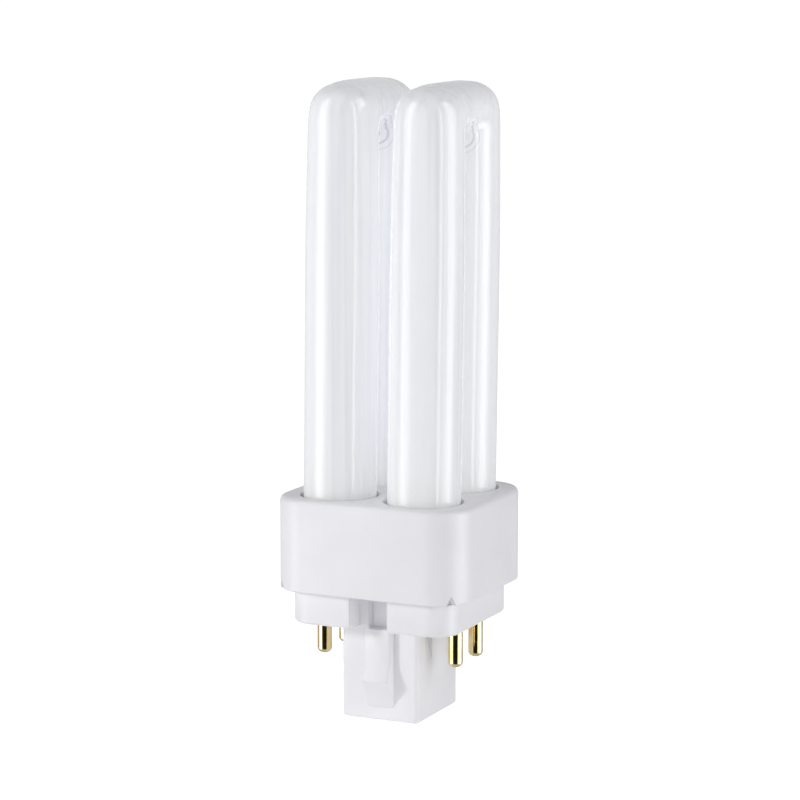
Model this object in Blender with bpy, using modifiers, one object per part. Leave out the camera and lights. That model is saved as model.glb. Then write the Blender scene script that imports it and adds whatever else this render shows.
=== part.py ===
"""Four pin compact fluorescent lamp: a folded glass tube in a two-piece moulded base.

Blender 4.5, metres, +Z up. The origin is the centre of the post's end, and the glass points up.
The two U-shaped tubes lie in planes along Y, side by side along X. The long row of pins is along X.
"""

import math

import bmesh
import bpy
from mathutils import Matrix, Vector

MM = 0.001

# Glass
TUBE_DIAMETER = 11.8 * MM
TUBE_GAP_X = 3.1 * MM  # between the two U-shaped tubes
TUBE_GAP_Y = 2.2 * MM  # between the two legs of one U
GLASS_REACH = 66.3 * MM  # top of the collar to the crown of the bends
CROWN_THICKNESS = 7.4 * MM  # height of the flattened tube at the middle of a bend
FRONT_SQUARENESS = 4.0  # power of the curve over each half of a bend: 2 is an ellipse, more is squarer
REAR_SQUARENESS = 4.8
CROWN_NARROWING = 0.2 * MM  # how much the half width of the tube shrinks at the middle of a bend
NECK_TAPER = 0.25 * MM  # how much the tube's radius shrinks towards a bend
NECK_LENGTH = 17.0 * MM
GLASS_LEAN = math.radians(0.75)  # the glass sits this much out of square in the collar
LEG_END_RISE = 2.15 * MM  # collar's roof to where a leg starts to close
LEG_CLOSING = 2.6 * MM  # length over which a leg closes to its dome or its pinch
PINCH_SPREAD = 0.78  # width of a pinch, as a share of the tube's diameter
PINCH_THICKNESS = 2.7 * MM
PINCH_LENGTH = 3.2 * MM
PINCH_SQUARENESS = 3.0
BRIDGE_DIAMETER = 5.6 * MM
BRIDGE_BELOW_COLLAR_TOP = 5.2 * MM
EXHAUST_TIP_DIAMETER = 2.6 * MM
EXHAUST_TIP_LENGTH = 1.6 * MM

# Collar moulding
COLLAR_HEIGHT = 15.25 * MM
COLLAR_CORNER = 6.0 * MM
COLLAR_TOP_EDGE = 1.0 * MM
COLLAR_LOWER_EDGE = 0.25 * MM
COLLAR_END_WALL = 2.9 * MM  # socket to outer face, along X
COLLAR_SIDE_WALL = 1.3 * MM  # socket to outer face, along Y
COLLAR_CAVITY_DEPTH = 5.5 * MM
CORE_HOLE_DIAMETER = 4.8 * MM
CORE_HOLE_ROOF = 1.8 * MM
SNAP_NOTCH_WIDTH = 2.3 * MM
SNAP_NOTCH_HEIGHT = 2.0 * MM
SNAP_NOTCH_INSET = 1.5 * MM  # centre of a notch, in from the collar's sides

# Base cap moulding
SKIRT_HEIGHT = 5.25 * MM
SKIRT_CORNER = 4.2 * MM
SKIRT_EDGE = 0.5 * MM
SKIRT_OVERHANG = 1.95 * MM  # how far the collar stands out past the skirt, along Y
SKIRT_WALL = 1.5 * MM
PIN_WALL = 1.2 * MM  # pin hole to the skirt's outer face
PLATE_THICKNESS = 1.8 * MM
SPIGOT_HEIGHT = 2.8 * MM
POST_X = 13.5 * MM
POST_Y = 15.5 * MM
POST_LENGTH = 15.9 * MM
POST_EDGE = 0.55 * MM  # radius of its upright and end edges, which meet in a ball at each corner
POST_WALL = 1.5 * MM
BOSS_WALL = 0.7 * MM
BOSS_HEIGHT = 1.5 * MM

# Latches on the post's two broad faces, with a recess and a window in the skirt above each
LATCH_WIDTH = 5.6 * MM
LATCH_OFFSET_X = 0.3 * MM
LATCH_STAND = 1.45 * MM
LATCH_PEAK = 1.15 * MM  # how far the tooth stands past the straight part
LATCH_STRAIGHT = 7.0 * MM
LATCH_RAMP = 2.0 * MM
LATCH_TAPER = 5.5 * MM
LATCH_END_STAND = 0.7 * MM  # how far the lower end still stands out
LATCH_EDGE = 0.4 * MM
RECESS_WIDTH = 6.6 * MM
RECESS_STEP = 0.05 * MM  # the recess floor stands this much past the latch
RECESS_WALL = 1.3 * MM  # beside and above the recess
WINDOW_WIDTH = 3.3 * MM
WINDOW_DEPTH = 1.6 * MM
WINDOW_WALL = 1.0 * MM  # behind the window
WINDOW_DROP = 0.45 * MM  # how far the window runs down past the seating face

# Keyway on one narrow face of the post
KEYWAY_WIDTH = 2.3 * MM
KEYWAY_DEPTH = 1.0 * MM
KEYWAY_LENGTH = 6.3 * MM
KEYWAY_OFFSET_Y = -3.4 * MM

# Contact pins
PIN_DIAMETER = 2.4 * MM
PIN_PITCH_X = 23.5 * MM
PIN_PITCH_Y = 8.0 * MM
PIN_REACH = 6.6 * MM
PIN_TIP_HEIGHT = 0.9 * MM
PIN_RISE = 3.5 * MM  # seating face to the pin's open upper end
PIN_BORE = 1.2 * MM
PIN_BORE_DEPTH = 5.0 * MM
PIN_RING_STAND = 0.25 * MM
PIN_RING_HEIGHT = 0.9 * MM

# Lead wires and cement
WIRE_DIAMETER = 0.5 * MM
WIRE_SPACING = 3.4 * MM
WIRE_IN_PIN = 2.4 * MM
WIRE_DROP = 0.3  # shares of the height from a pin's top to the glass: where a wire turns across
WIRE_SAG = 0.45
WIRE_ENTRY = 0.25
WIRE_CROSSING = (0.3, 0.7)  # shares of the way across, where a wire is held level
CEMENT_THICKNESS = 2.1 * MM

# Clearances
FIT_GAP = 0.3 * MM
SOCKET_CLEARANCE = 0.45 * MM
OVERSHOOT = 1.0 * MM  # how far a cutter runs past the face it cuts

# Fineness of the round shapes
RING_POINTS = 28
BEND_STEPS = 20
DOME_STEPS = 4
DOME_END_ANGLE = math.radians(80)
PINCH_STEPS = 3
PIN_TIP_STEPS = 5
TURNED_STEPS = 24
SOCKET_STEPS = 40
SMALL_HOLE_STEPS = 16
CORNER_STEPS = 7
EDGE_STEPS = 3
LATCH_EDGE_STEPS = 3
WIRE_STEPS = 5
WIRE_ROUNDNESS = 2
SMOOTH_ANGLE = math.radians(35)
ROUND = 2.0  # the power of a plain ellipse
MERGE_DISTANCE = 0.001 * MM
BALL_MERGE_DISTANCE = 0.05 * MM  # draws the points of a ball corner together into one

# Levels, from the post's end upwards
SEAT = POST_LENGTH
PLATE_TOP = SEAT + PLATE_THICKNESS
SKIRT_TOP = SEAT + SKIRT_HEIGHT
SPIGOT_TOP = SKIRT_TOP + SPIGOT_HEIGHT
COLLAR_BOTTOM = SKIRT_TOP + FIT_GAP
COLLAR_TOP = COLLAR_BOTTOM + COLLAR_HEIGHT
COLLAR_ROOF = COLLAR_BOTTOM + COLLAR_CAVITY_DEPTH
LAMP_TOP = COLLAR_TOP + GLASS_REACH
LEG_END = COLLAR_ROOF + LEG_END_RISE
PINCH_BOTTOM = LEG_END - LEG_CLOSING - PINCH_LENGTH

# Half sizes in plan that follow from the above
TUBE_RADIUS = TUBE_DIAMETER / 2
LEG_PITCH_X = TUBE_DIAMETER + TUBE_GAP_X
LEG_PITCH_Y = TUBE_DIAMETER + TUBE_GAP_Y
PINCH_WIDTH = TUBE_DIAMETER * PINCH_SPREAD
NECK_RADIUS = TUBE_RADIUS - NECK_TAPER
BEND_INNER_RADIUS = LEG_PITCH_Y / 2 - NECK_RADIUS
BEND_SPRING = LAMP_TOP - CROWN_THICKNESS - BEND_INNER_RADIUS  # level where the legs start to bend
SOCKET_RADIUS = TUBE_RADIUS + SOCKET_CLEARANCE
SOCKET_REACH_X = LEG_PITCH_X / 2 + SOCKET_RADIUS
COLLAR_HALF_X = SOCKET_REACH_X + COLLAR_END_WALL
COLLAR_HALF_Y = LEG_PITCH_Y / 2 + SOCKET_RADIUS + COLLAR_SIDE_WALL
PIN_RADIUS = PIN_DIAMETER / 2
PIN_HOLE_RADIUS = PIN_RADIUS + FIT_GAP
PIN_REACH_X = PIN_PITCH_X / 2 + PIN_HOLE_RADIUS + PIN_WALL
SKIRT_HALF_X = max(PIN_REACH_X, SOCKET_REACH_X)  # the skirt takes in the pins and the leg ends
SKIRT_HALF_Y = COLLAR_HALF_Y - SKIRT_OVERHANG
LATCH_FACE = POST_Y / 2 + LATCH_STAND
RECESS_FLOOR = LATCH_FACE + RECESS_STEP
IN_PLATE = SEAT + PLATE_THICKNESS / 2

CORNERS = ((-1, -1), (1, -1), (1, 1), (-1, 1))


def clear_scene():
    for obj in list(bpy.data.objects):
        bpy.data.objects.remove(obj, do_unlink=True)


def new_collection(name):
    collection = bpy.data.collections.new(name)
    bpy.context.scene.collection.children.link(collection)
    return collection


def new_material(name, color, roughness, metallic=0.0):
    material = bpy.data.materials.new(name)
    material.use_nodes = True
    shader = material.node_tree.nodes["Principled BSDF"]
    shader.inputs["Base Color"].default_value = (*color, 1.0)
    shader.inputs["Roughness"].default_value = roughness
    shader.inputs["Metallic"].default_value = metallic
    return material


def new_object(name, bm, collection):
    mesh = bpy.data.meshes.new(name)
    bmesh.ops.recalc_face_normals(bm, faces=bm.faces)
    bm.to_mesh(mesh)
    bm.free()
    mesh.shade_smooth()
    mesh.set_sharp_from_angle(angle=SMOOTH_ANGLE)
    obj = bpy.data.objects.new(name, mesh)
    collection.objects.link(obj)
    return obj


def block(name, collection, half_x, half_y, low, high, corner=0.0, low_edge=0.0, high_edge=0.0):
    """A box from low to high with rounded upright corners and rounded end edges."""
    bm = bmesh.new()
    size = Matrix.Diagonal((2 * half_x, 2 * half_y, high - low, 1.0))
    bmesh.ops.create_cube(bm, size=1.0, matrix=Matrix.Translation((0, 0, (low + high) / 2)) @ size)
    if corner:
        upright = [e for e in bm.edges if abs(e.verts[0].co.z - e.verts[1].co.z) > (high - low) / 2]
        bmesh.ops.bevel(
            bm, geom=upright, offset=corner, segments=CORNER_STEPS, profile=0.5, affect="EDGES"
        )
    middle = (low + high) / 2
    for edge_radius, above in ((low_edge, False), (high_edge, True)):
        if edge_radius:
            rim = [e for e in bm.edges if all((v.co.z > middle) == above for v in e.verts)]
            bmesh.ops.bevel(
                bm, geom=rim, offset=edge_radius, segments=EDGE_STEPS, profile=0.5, affect="EDGES"
            )
    bmesh.ops.remove_doubles(bm, verts=bm.verts, dist=BALL_MERGE_DISTANCE)
    return new_object(name, bm, collection)


def cylinder(name, collection, radius, low, high, segments=TURNED_STEPS):
    bm = bmesh.new()
    bmesh.ops.create_cone(
        bm,
        cap_ends=True,
        segments=segments,
        radius1=radius,
        radius2=radius,
        depth=high - low,
        matrix=Matrix.Translation((0, 0, (low + high) / 2)),
    )
    return new_object(name, bm, collection)


def prism(name, collection, outline, width, edge=0.0):
    """A flat outline of (y, z) points, extruded to the given width across X."""
    bm = bmesh.new()
    face = bm.faces.new([bm.verts.new((-width / 2, y, z)) for y, z in outline])
    moved = bmesh.ops.extrude_face_region(bm, geom=[face])["geom"]
    corners = [item for item in moved if isinstance(item, bmesh.types.BMVert)]
    bmesh.ops.translate(bm, vec=(width, 0, 0), verts=corners)
    if edge:
        sides = [e for e in bm.edges if abs(e.verts[0].co.x - e.verts[1].co.x) < width / 2]
        bmesh.ops.bevel(
            bm, geom=sides, offset=edge, segments=LATCH_EDGE_STEPS, profile=0.5, affect="EDGES"
        )
    return new_object(name, bm, collection)


def turned(name, collection, profile):
    """A profile of (radius, z) points, top to bottom on its outer side, turned about Z."""
    mesh = bpy.data.meshes.new(name)
    points = [(radius, 0, z) for radius, z in profile]
    mesh.from_pydata(points, [(i, i + 1) for i in range(len(points) - 1)], [])
    obj = bpy.data.objects.new(name, mesh)
    collection.objects.link(obj)
    screw = obj.modifiers.new("turn", "SCREW")
    screw.axis = "Z"
    screw.steps = TURNED_STEPS
    screw.render_steps = TURNED_STEPS
    screw.use_merge_vertices = True
    screw.merge_threshold = MERGE_DISTANCE
    screw.use_smooth_shade = True
    return obj


def loft(name, collection, rings):
    """A closed skin through rings of the same number of points, flat at both ends."""
    bm = bmesh.new()
    loops = [[bm.verts.new(point) for point in ring] for ring in rings]
    for first, second in zip(loops, loops[1:]):
        for i in range(len(first)):
            j = (i + 1) % len(first)
            bm.faces.new((first[i], first[j], second[j], second[i]))
    bm.faces.new(loops[0])
    bm.faces.new(loops[-1])
    return new_object(name, bm, collection)


def combine(obj, others, operation):
    """Joins helpers to the object, or cuts them from it, and hides them from the render."""
    for other in others:
        other.hide_render = True
        other.display_type = "WIRE"
        modifier = obj.modifiers.new(other.name, "BOOLEAN")
        modifier.operation = operation
        modifier.solver = "EXACT"
        modifier.object = other


def oval_ring(centre, across, along, half_across, half_along, squareness=ROUND):
    """Points of an oval, which is squarer when its power is more than 2."""
    points = []
    for i in range(RING_POINTS):
        angle = 2 * math.pi * i / RING_POINTS
        c, s = math.cos(angle), math.sin(angle)
        u = math.copysign(abs(c) ** (2 / squareness), c) * half_across
        v = math.copysign(abs(s) ** (2 / squareness), s) * half_along
        points.append(centre + across * u + along * v)
    return points


ACROSS_X = Vector((1, 0, 0))
OUTWARD_Y = Vector((0, -1, 0))


def leg_ring(x, side, z, half_x, half_y, squareness=ROUND):
    """A level ring of a leg. The front legs have side -1 and the rear legs side 1."""
    centre = Vector((x, side * LEG_PITCH_Y / 2, z))
    return oval_ring(centre, ACROSS_X, OUTWARD_Y * -side, half_x, half_y, squareness)


def swollen(flat, share):
    """Half a width of a front leg, a share of the way from its pinch to the round tube."""
    return flat + (TUBE_RADIUS - flat) * math.sin(share * math.pi / 2)


def pinch_rings(x):
    """The press seal that closes a front leg, from its lower end up to the round tube."""
    rings = []
    pinch_top = PINCH_BOTTOM + PINCH_LENGTH
    for z in (PINCH_BOTTOM, pinch_top):
        rings.append(
            leg_ring(x, -1, z, PINCH_WIDTH / 2, PINCH_THICKNESS / 2, PINCH_SQUARENESS)
        )
    for step in range(1, PINCH_STEPS + 1):
        share = step / PINCH_STEPS
        half_x = swollen(PINCH_WIDTH / 2, share)
        half_y = swollen(PINCH_THICKNESS / 2, share)
        squareness = PINCH_SQUARENESS + (ROUND - PINCH_SQUARENESS) * share
        rings.append(leg_ring(x, -1, pinch_top + LEG_CLOSING * share, half_x, half_y, squareness))
    return rings


def dome_rings(x):
    """The rounded end that closes a rear leg, from the round tube down."""
    rings = []
    for step in range(DOME_STEPS + 1):
        angle = DOME_END_ANGLE * step / DOME_STEPS
        radius = TUBE_RADIUS * math.cos(angle)
        rings.append(leg_ring(x, 1, LEG_END - LEG_CLOSING * math.sin(angle), radius, radius))
    return rings


def neck_ring(x, side):
    """Where a leg starts to narrow towards the bend."""
    return leg_ring(x, side, BEND_SPRING - NECK_LENGTH, TUBE_RADIUS, TUBE_RADIUS)


def bend_rings(x):
    """The tight bend: rings fan from a small inner arc to a squared outer curve."""
    inner_radius = BEND_INNER_RADIUS
    outer_reach = LEG_PITCH_Y / 2 + NECK_RADIUS
    rise = LAMP_TOP - BEND_SPRING
    rings = []
    for step in range(BEND_STEPS + 1):
        angle = math.pi * step / BEND_STEPS
        out = Vector((0, -math.cos(angle), math.sin(angle)))
        share_y = abs(out.y) / outer_reach
        share_z = abs(out.z) / rise
        power = FRONT_SQUARENESS if out.y < 0 else REAR_SQUARENESS
        reach = (share_y**power + share_z**power) ** (-1 / power)
        inner, outer = out * inner_radius, out * reach
        centre = Vector((x, 0, BEND_SPRING)) + (inner + outer) / 2
        half_x = NECK_RADIUS - CROWN_NARROWING * math.sin(angle)
        rings.append(oval_ring(centre, ACROSS_X, out, half_x, (outer - inner).length / 2))
    return rings


def make_u_tube(name, collection, x):
    front = pinch_rings(x) + [neck_ring(x, -1)]
    rear = [neck_ring(x, 1)] + dome_rings(x)
    return loft(name, collection, front + bend_rings(x) + rear)


def make_discharge_tube(parts, cutters):
    """One sealed vessel: two U-shaped tubes joined low down by a short bridge tube."""
    tube = make_u_tube("discharge_tube", parts, -LEG_PITCH_X / 2)
    second = make_u_tube("second_u_tube", cutters, LEG_PITCH_X / 2)
    bridge = cylinder(
        "bridge_tube", cutters, BRIDGE_DIAMETER / 2, -LEG_PITCH_X / 2, LEG_PITCH_X / 2
    )
    bridge.rotation_euler = (0, math.pi / 2, 0)
    bridge.location = (0, LEG_PITCH_Y / 2, COLLAR_TOP - BRIDGE_BELOW_COLLAR_TOP)
    tip_radius = EXHAUST_TIP_DIAMETER / 2
    dome_bottom = LEG_END - LEG_CLOSING
    tip = turned(
        "exhaust_tip",
        cutters,
        [
            (0, dome_bottom + OVERSHOOT),
            (tip_radius, dome_bottom + OVERSHOOT),
            (tip_radius, dome_bottom - EXHAUST_TIP_LENGTH / 2),
            (tip_radius / 2, dome_bottom - EXHAUST_TIP_LENGTH),
            (0, dome_bottom - EXHAUST_TIP_LENGTH),
        ],
    )
    tip.location = (-LEG_PITCH_X / 2, LEG_PITCH_Y / 2, 0)
    combine(tube, [second, bridge, tip], "UNION")

    # The vessel leans about the middle of its sockets, and its helpers lean with it.
    pivot = Matrix.Translation((0, 0, (COLLAR_TOP + COLLAR_ROOF) / 2))
    lean = pivot @ Matrix.Rotation(GLASS_LEAN, 4, "Y") @ pivot.inverted()
    bpy.context.view_layer.update()
    for obj in (tube, second, bridge, tip):
        obj.matrix_world = lean @ obj.matrix_world
    return tube


def make_tube_collar(parts, cutters):
    """The upper moulding: an upturned cup whose thick roof holds four glass sockets."""
    collar = block(
        "tube_collar",
        parts,
        COLLAR_HALF_X,
        COLLAR_HALF_Y,
        COLLAR_BOTTOM,
        COLLAR_TOP,
        COLLAR_CORNER,
        COLLAR_LOWER_EDGE,
        COLLAR_TOP_EDGE,
    )
    below = COLLAR_BOTTOM - OVERSHOOT
    cuts = [
        block("collar_cavity", cutters, SKIRT_HALF_X, SKIRT_HALF_Y, below, COLLAR_ROOF, SKIRT_CORNER),
        cylinder(
            "core_hole",
            cutters,
            CORE_HOLE_DIAMETER / 2,
            below,
            COLLAR_TOP - CORE_HOLE_ROOF,
            SMALL_HOLE_STEPS,
        ),
    ]
    for sx, sy in CORNERS:
        socket = cylinder(
            "leg_socket",
            cutters,
            SOCKET_RADIUS,
            COLLAR_ROOF - OVERSHOOT,
            COLLAR_TOP + OVERSHOOT,
            SOCKET_STEPS,
        )
        socket.location = (sx * LEG_PITCH_X / 2, sy * LEG_PITCH_Y / 2, 0)
        cuts.append(socket)
    slot_half = BRIDGE_DIAMETER / 2 + SOCKET_CLEARANCE
    slot_top = COLLAR_TOP - BRIDGE_BELOW_COLLAR_TOP + slot_half
    slot = block("bridge_slot", cutters, LEG_PITCH_X / 2, slot_half, COLLAR_ROOF - OVERSHOOT, slot_top)
    slot.location = (0, LEG_PITCH_Y / 2, 0)
    cuts.append(slot)
    cuts += snap_notches(cutters)
    combine(collar, cuts, "DIFFERENCE")
    return collar


def snap_notches(cutters):
    """A small V through the lower rim at each corner, where the cap's snap is released."""
    half = SNAP_NOTCH_WIDTH / 2
    share = (SNAP_NOTCH_HEIGHT + OVERSHOOT) / SNAP_NOTCH_HEIGHT
    low = COLLAR_BOTTOM - OVERSHOOT
    outline = [(-half * share, low), (half * share, low), (0, COLLAR_BOTTOM + SNAP_NOTCH_HEIGHT)]
    notches = []
    for sx, sy in CORNERS:
        notch = prism("snap_notch", cutters, outline, 2 * COLLAR_CORNER)
        notch.rotation_euler = (0, 0, math.atan2(sy, sx))
        notch.location = (
            sx * (COLLAR_HALF_X - SNAP_NOTCH_INSET),
            sy * (COLLAR_HALF_Y - SNAP_NOTCH_INSET),
            0,
        )
        notches.append(notch)
    return notches


def latches(cutters):
    made = []
    for side in (-1, 1):
        latch = prism("latch", cutters, latch_outline(side), LATCH_WIDTH, LATCH_EDGE)
        latch.location = (LATCH_OFFSET_X, 0, 0)
        made.append(latch)
    return made


def latch_outline(side):
    """The latch seen from the side: straight, then out over the tooth, then in again."""
    root = POST_Y / 2 - POST_WALL / 2
    tooth_top = SEAT - LATCH_STRAIGHT
    tooth_peak = tooth_top - LATCH_RAMP
    points = [
        (root, IN_PLATE),
        (LATCH_FACE, IN_PLATE),
        (LATCH_FACE, tooth_top),
        (LATCH_FACE + LATCH_PEAK, tooth_peak),
        (POST_Y / 2 + LATCH_END_STAND, tooth_peak - LATCH_TAPER),
        (root, tooth_peak - LATCH_TAPER),
    ]
    return [(side * y, z) for y, z in points]


def pin_hole_profile():
    """The bore for a pin, with a wider groove that traps the pin's ring."""
    groove_radius = PIN_HOLE_RADIUS + PIN_RING_STAND
    ring_middle = SEAT + PIN_RISE / 2
    groove_half = PIN_RING_HEIGHT / 2 + FIT_GAP
    top = SPIGOT_TOP + OVERSHOOT
    bottom = SEAT - OVERSHOOT
    return [
        (0, top),
        (PIN_HOLE_RADIUS, top),
        (PIN_HOLE_RADIUS, ring_middle + groove_half),
        (groove_radius, ring_middle + groove_half),
        (groove_radius, ring_middle - groove_half),
        (PIN_HOLE_RADIUS, ring_middle - groove_half),
        (PIN_HOLE_RADIUS, bottom),
        (0, bottom),
    ]


def make_base_cap(parts, cutters):
    """The lower moulding: skirt and spigot, seating plate, hollow post, latches and pin bosses."""
    inside_x = SKIRT_HALF_X - SKIRT_WALL
    inside_y = SKIRT_HALF_Y - SKIRT_WALL
    inside_corner = SKIRT_CORNER - SKIRT_WALL
    cap = block(
        "base_cap", parts, SKIRT_HALF_X, SKIRT_HALF_Y, SEAT, SKIRT_TOP, SKIRT_CORNER, SKIRT_EDGE
    )
    spigot = block(
        "spigot",
        cutters,
        SKIRT_HALF_X - FIT_GAP,
        SKIRT_HALF_Y - FIT_GAP,
        IN_PLATE,
        SPIGOT_TOP,
        SKIRT_CORNER - FIT_GAP,
        0.0,
        SKIRT_EDGE,
    )
    post = block(
        "post", cutters, POST_X / 2, POST_Y / 2, 0.0, IN_PLATE, POST_EDGE, POST_EDGE
    )
    combine(cap, [spigot, post], "UNION")
    inside = block(
        "cap_cavity", cutters, inside_x, inside_y, PLATE_TOP, SPIGOT_TOP + OVERSHOOT, inside_corner
    )
    combine(cap, [inside], "DIFFERENCE")
    combine(cap, recess_jackets(cutters) + pin_bosses(cutters), "UNION")
    hollow = block(
        "post_hollow",
        cutters,
        POST_X / 2 - POST_WALL,
        POST_Y / 2 - POST_WALL,
        POST_WALL,
        PLATE_TOP + OVERSHOOT,
    )
    combine(cap, [hollow] + recesses(cutters) + pin_holes(cutters), "DIFFERENCE")
    combine(cap, latches(cutters), "UNION")
    combine(cap, windows(cutters) + [keyway(cutters)], "DIFFERENCE")
    return cap


def recess_jackets(cutters):
    """The walls behind each recess, so that the cap stays closed there."""
    high = SKIRT_TOP + FIT_GAP + RECESS_WALL
    back = RECESS_FLOOR - WINDOW_DEPTH - WINDOW_WALL
    face = SKIRT_HALF_Y - SKIRT_WALL / 2
    jackets = []
    for side in (-1, 1):
        half_x = RECESS_WIDTH / 2 + RECESS_WALL
        jacket = block("recess_jacket", cutters, half_x, (face - back) / 2, IN_PLATE, high)
        jacket.location = (LATCH_OFFSET_X, side * (face + back) / 2, 0)
        jackets.append(jacket)
    return jackets


def recesses(cutters):
    """The bay in each broad side of the skirt, level with the latch's face."""
    face = SKIRT_HALF_Y + OVERSHOOT
    cuts = []
    for side in (-1, 1):
        recess = block(
            "recess",
            cutters,
            RECESS_WIDTH / 2,
            (face - RECESS_FLOOR) / 2,
            SEAT - OVERSHOOT,
            SKIRT_TOP + FIT_GAP,
        )
        recess.location = (LATCH_OFFSET_X, side * (face + RECESS_FLOOR) / 2, 0)
        cuts.append(recess)
    return cuts


def windows(cutters):
    """The pocket above each latch, sunk in the recess floor."""
    back = RECESS_FLOOR - WINDOW_DEPTH
    front = RECESS_FLOOR + OVERSHOOT
    cuts = []
    for side in (-1, 1):
        window = block(
            "window",
            cutters,
            WINDOW_WIDTH / 2,
            (front - back) / 2,
            SEAT - WINDOW_DROP,
            SKIRT_TOP,
        )
        window.location = (LATCH_OFFSET_X, side * (front + back) / 2, 0)
        cuts.append(window)
    return cuts


def pin_places():
    return [(sx * PIN_PITCH_X / 2, sy * PIN_PITCH_Y / 2) for sx, sy in CORNERS]


def pin_bosses(cutters):
    bosses = []
    for x, y in pin_places():
        boss = cylinder(
            "pin_boss",
            cutters,
            PIN_HOLE_RADIUS + BOSS_WALL,
            IN_PLATE,
            PLATE_TOP + BOSS_HEIGHT,
        )
        boss.location = (x, y, 0)
        bosses.append(boss)
    return bosses


def pin_holes(cutters):
    holes = []
    for x, y in pin_places():
        hole = turned("pin_hole", cutters, pin_hole_profile())
        hole.location = (x, y, 0)
        holes.append(hole)
    return holes


def keyway(cutters):
    """A slot that runs out to nothing down the post, a coding key for its holder."""
    slope = KEYWAY_DEPTH / KEYWAY_LENGTH
    face = POST_X / 2
    outline = [
        (face - KEYWAY_DEPTH, SEAT),
        (face + OVERSHOOT, SEAT),
        (face + OVERSHOOT, SEAT - KEYWAY_LENGTH - OVERSHOOT / slope),
    ]
    slot = prism("keyway", cutters, outline, KEYWAY_WIDTH)
    slot.rotation_euler = (0, 0, -math.pi / 2)
    slot.location = (0, KEYWAY_OFFSET_Y, 0)
    return slot


def pin_profile():
    """A drawn pin: open at the top, ringed in its boss, domed at its tip."""
    top = SEAT + PIN_RISE
    tip = SEAT - PIN_REACH
    ring_middle = SEAT + PIN_RISE / 2
    ring_radius = PIN_RADIUS + PIN_RING_STAND
    bore = PIN_BORE / 2
    points = [
        (0, top - PIN_BORE_DEPTH),
        (bore, top - PIN_BORE_DEPTH + bore / 2),
        (bore, top),
        (PIN_RADIUS, top),
        (PIN_RADIUS, ring_middle + PIN_RING_HEIGHT / 2),
        (ring_radius, ring_middle + PIN_RING_HEIGHT / 4),
        (ring_radius, ring_middle - PIN_RING_HEIGHT / 4),
        (PIN_RADIUS, ring_middle - PIN_RING_HEIGHT / 2),
    ]
    for step in range(PIN_TIP_STEPS):
        angle = math.pi / 2 * step / PIN_TIP_STEPS
        radius = PIN_RADIUS * math.cos(angle)
        points.append((radius, tip + PIN_TIP_HEIGHT * (1 - math.sin(angle))))
    points.append((0, tip))
    return points


def make_contact_pins(parts):
    pins = []
    for number, (x, y) in enumerate(pin_places(), 1):
        pin = turned(f"contact_pin_{number}", parts, pin_profile())
        pin.location = (x, y, 0)
        pins.append(pin)
    return pins


def wire_route(side, end):
    """From under a pinch seal, across the cap and down into a pin's bore.

    side is the leg's side along X. end is -1 for the pin near the seal and 1 for the far pin.
    """
    start_x = side * (LEG_PITCH_X - end * WIRE_SPACING) / 2
    start = Vector((start_x, -LEG_PITCH_Y / 2, PINCH_BOTTOM - FIT_GAP))
    pin_top = Vector((side * PIN_PITCH_X / 2, end * PIN_PITCH_Y / 2, SEAT + PIN_RISE))
    rise = start.z - pin_top.z
    points = [start, start - Vector((0, 0, rise * WIRE_DROP))]
    for share in WIRE_CROSSING:
        middle = start.lerp(pin_top, share)
        points.append(Vector((middle.x, middle.y, pin_top.z + rise * WIRE_SAG)))
    points.append(pin_top + Vector((0, 0, rise * WIRE_ENTRY)))
    points.append(pin_top - Vector((0, 0, WIRE_IN_PIN)))
    return points


def make_lead_wires(parts):
    """One wire to each pin, numbered as the pins are."""
    wires = []
    for number, (side, end) in enumerate(CORNERS, 1):
        curve = bpy.data.curves.new(f"lead_wire_{number}", "CURVE")
        curve.dimensions = "3D"
        curve.resolution_u = WIRE_STEPS
        curve.bevel_depth = WIRE_DIAMETER / 2
        curve.bevel_resolution = WIRE_ROUNDNESS
        curve.use_fill_caps = True
        route = wire_route(side, end)
        spline = curve.splines.new("BEZIER")
        spline.bezier_points.add(len(route) - 1)
        for knot, point in zip(spline.bezier_points, route):
            knot.co = point
            knot.handle_left_type = knot.handle_right_type = "AUTO"
        wire = bpy.data.objects.new(f"lead_wire_{number}", curve)
        parts.objects.link(wire)
        wires.append(wire)
    return wires


def make_basing_cement(parts, cutters):
    """The poured layer under the sockets that holds the four leg ends in the collar."""
    low = COLLAR_ROOF - FIT_GAP - CEMENT_THICKNESS
    high = COLLAR_ROOF - FIT_GAP
    cement = block(
        "basing_cement",
        parts,
        SKIRT_HALF_X - FIT_GAP,
        SKIRT_HALF_Y - FIT_GAP,
        low,
        high,
        SKIRT_CORNER - FIT_GAP,
    )
    closed = min((LEG_END - high) / LEG_CLOSING, 1.0)
    dome_radius = TUBE_RADIUS * math.sqrt(1 - closed * closed)
    radius = max(dome_radius, swollen(PINCH_WIDTH / 2, 1 - closed)) + FIT_GAP
    holes = []
    for sx, sy in CORNERS:
        hole = cylinder("cement_hole", cutters, radius, low - OVERSHOOT, high + OVERSHOOT)
        hole.location = (sx * LEG_PITCH_X / 2, sy * LEG_PITCH_Y / 2, 0)
        holes.append(hole)
    combine(cement, holes, "DIFFERENCE")
    return cement


def dress(objects, material):
    for obj in objects:
        obj.data.materials.clear()
        obj.data.materials.append(material)


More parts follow.
